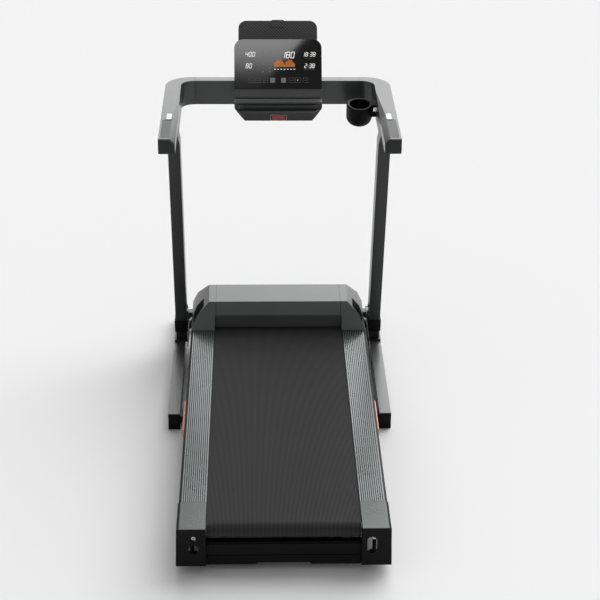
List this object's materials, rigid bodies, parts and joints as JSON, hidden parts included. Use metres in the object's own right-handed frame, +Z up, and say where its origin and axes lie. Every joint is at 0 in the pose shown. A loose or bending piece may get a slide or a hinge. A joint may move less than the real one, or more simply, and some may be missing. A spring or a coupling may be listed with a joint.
{
  "type": "treadmill",
  "caption": "Folding home treadmill: ribbed running belt on a long deck, faceted motor hood, leaning uprights, wrap-round handlebar, tilted display and bottle holder.",
  "frame": {"origin": "on the floor under the centre of the whole machine", "axes": "+Z up, +Y from the walking end towards the motor hood and display, +X to the runner's right"},
  "size_m": [0.8634, 1.78, 1.3092],
  "materials": {
    "frame_paint": "satin dark grey metallic paint",
    "arm_paint": "satin grey metallic paint",
    "dark_steel": "black painted steel",
    "bright_steel": "plain machined steel",
    "black_plastic": "black moulded plastic",
    "grey_plastic": "dark grey satin plastic",
    "hood_plastic": "grey metallic finish on a moulded hood",
    "rail_alu": "grey anodised, ribbed",
    "belt_rubber": "finely ribbed running surface",
    "black_rubber": "matte",
    "grip_rubber": "soft grip",
    "board_wood": "waxed fibreboard",
    "glass_black": "glossy black display cover",
    "copper_accent": "copper coloured anodised",
    "key_red": "red",
    "key_silver": "bright satin",
    "circuit_green": "circuit board"
  },
  "bodies": {
    "base_frame": {"base_rail_left": "frame_paint", "base_rail_right": "frame_paint", "rail_end_caps": "black_plastic", "floor_pads": "black_rubber", "base_cross_members": "frame_paint", "lift_shaft": "bright_steel", "lift_motor": "dark_steel", "power_inlet": "black_plastic", "upright_foot_plates": "frame_paint", "upright_left": "frame_paint", "upright_right": "frame_paint", "upright_boots": "black_plastic", "upright_bolts": "dark_steel", "handlebar_crossbar": "arm_paint", "handlebar_arm_left": "arm_paint", "handlebar_arm_right": "arm_paint", "arm_end_caps": "black_plastic", "grips": "grip_rubber", "console_back_shell": "black_plastic", "console_glass": "glass_black", "display_board": "circuit_green", "console_body": "grey_plastic", "console_tray": "grey_plastic", "console_chin": "black_plastic", "tablet_guides": "black_plastic", "bottle_cup": "black_plastic", "bottle_bracket": "black_plastic"},
    "lift_frame": {"lift_arms": "frame_paint", "lift_cross_tube": "frame_paint"},
    "pivot_pins": {"deck_pivot_pins": "dark_steel"},
    "deck": {"deck_beams": "dark_steel", "deck_cross_members": "dark_steel", "running_board": "board_wood", "deck_cushions": "black_rubber", "running_belt": "belt_rubber", "roller_axles": "bright_steel", "foot_rail_left": "rail_alu", "foot_rail_right": "rail_alu", "foot_plates": "rail_alu", "end_cap_left": "black_plastic", "end_cap_right": "black_plastic", "belt_adjust_bolts": "bright_steel", "rear_crossmember": "black_plastic", "rear_feet": "black_rubber", "side_accents": "copper_accent", "motor_hood": "hood_plastic", "hood_vents": "black_plastic", "throat_panel": "black_plastic", "motor_tray": "dark_steel", "drive_motor_can": "dark_steel", "control_board": "circuit_green", "drive_belt": "black_rubber"},
    "front_roller": {"front_roller": "bright_steel"},
    "rear_roller": {"rear_roller": "bright_steel"},
    "motor_rotor": {"motor_rotor": "bright_steel"},
    "rocker_left": {"rocker_key_left": "key_silver"},
    "rocker_right": {"rocker_key_right": "key_silver"},
    "safety_key": {"safety_key": "key_red"},
    "tablet_panel": {"tablet_panel": "grey_plastic"},
    "power_switch": {"power_switch": "black_plastic"}
  },
  "joints": [
    {"name": "incline_lift", "type": "hinge", "parent": "base_frame", "child": "lift_frame", "pos_m": [0, 0.8, 0.04], "axis": [-1, 0, 0], "range_deg": [0, 48]},
    {"name": "deck_level", "type": "hinge", "parent": "lift_frame", "child": "pivot_pins", "pos_m": [0, 0.61, 0.13], "axis": [-1, 0, 0], "range_deg": [-52.92, 0]},
    {"name": "deck_fold", "type": "hinge", "parent": "pivot_pins", "child": "deck", "pos_m": [0, 0.61, 0.13], "axis": [-1, 0, 0], "range_deg": [0, 75]},
    {"name": "front_roller_spin", "type": "hinge", "parent": "deck", "child": "front_roller", "pos_m": [0, 0.542, 0.1475], "axis": [1, 0, 0], "continuous": true},
    {"name": "rear_roller_spin", "type": "hinge", "parent": "deck", "child": "rear_roller", "pos_m": [0, -0.843, 0.1475], "axis": [1, 0, 0], "continuous": true},
    {"name": "motor_spin", "type": "hinge", "parent": "deck", "child": "motor_rotor", "pos_m": [0, 0.652, 0.172], "axis": [1, 0, 0], "continuous": true},
    {"name": "rocker_left_tilt", "type": "hinge", "parent": "base_frame", "child": "rocker_left", "pos_m": [-0.40185, 0.417, 1.084], "axis": [1, 0, 0], "range_deg": [-4, 4], "stiffness_Nm_per_rad": 0.5},
    {"name": "rocker_right_tilt", "type": "hinge", "parent": "base_frame", "child": "rocker_right", "pos_m": [0.40185, 0.417, 1.084], "axis": [1, 0, 0], "range_deg": [-4, 4], "stiffness_Nm_per_rad": 0.5},
    {"name": "safety_key_pull", "type": "slide", "parent": "base_frame", "child": "safety_key", "axis": [0, -1, 0], "range_m": [0, 0.04]},
    {"name": "tablet_raise", "type": "slide", "parent": "base_frame", "child": "tablet_panel", "axis": [0, 0.565, 0.8251], "range_m": [0, 0.055]},
    {"name": "power_switch_rock", "type": "hinge", "parent": "base_frame", "child": "power_switch", "pos_m": [0.263, 0.886, 0.031], "axis": [1, 0, 0], "range_deg": [-5, 5]}
  ],
  "couplings": [
    {"joint": "deck_level", "follows": "incline_lift", "ratio": -1.092},
    {"joint": "rear_roller_spin", "follows": "front_roller_spin", "ratio": 1},
    {"joint": "motor_spin", "follows": "front_roller_spin", "ratio": 3.0395}
  ]
}
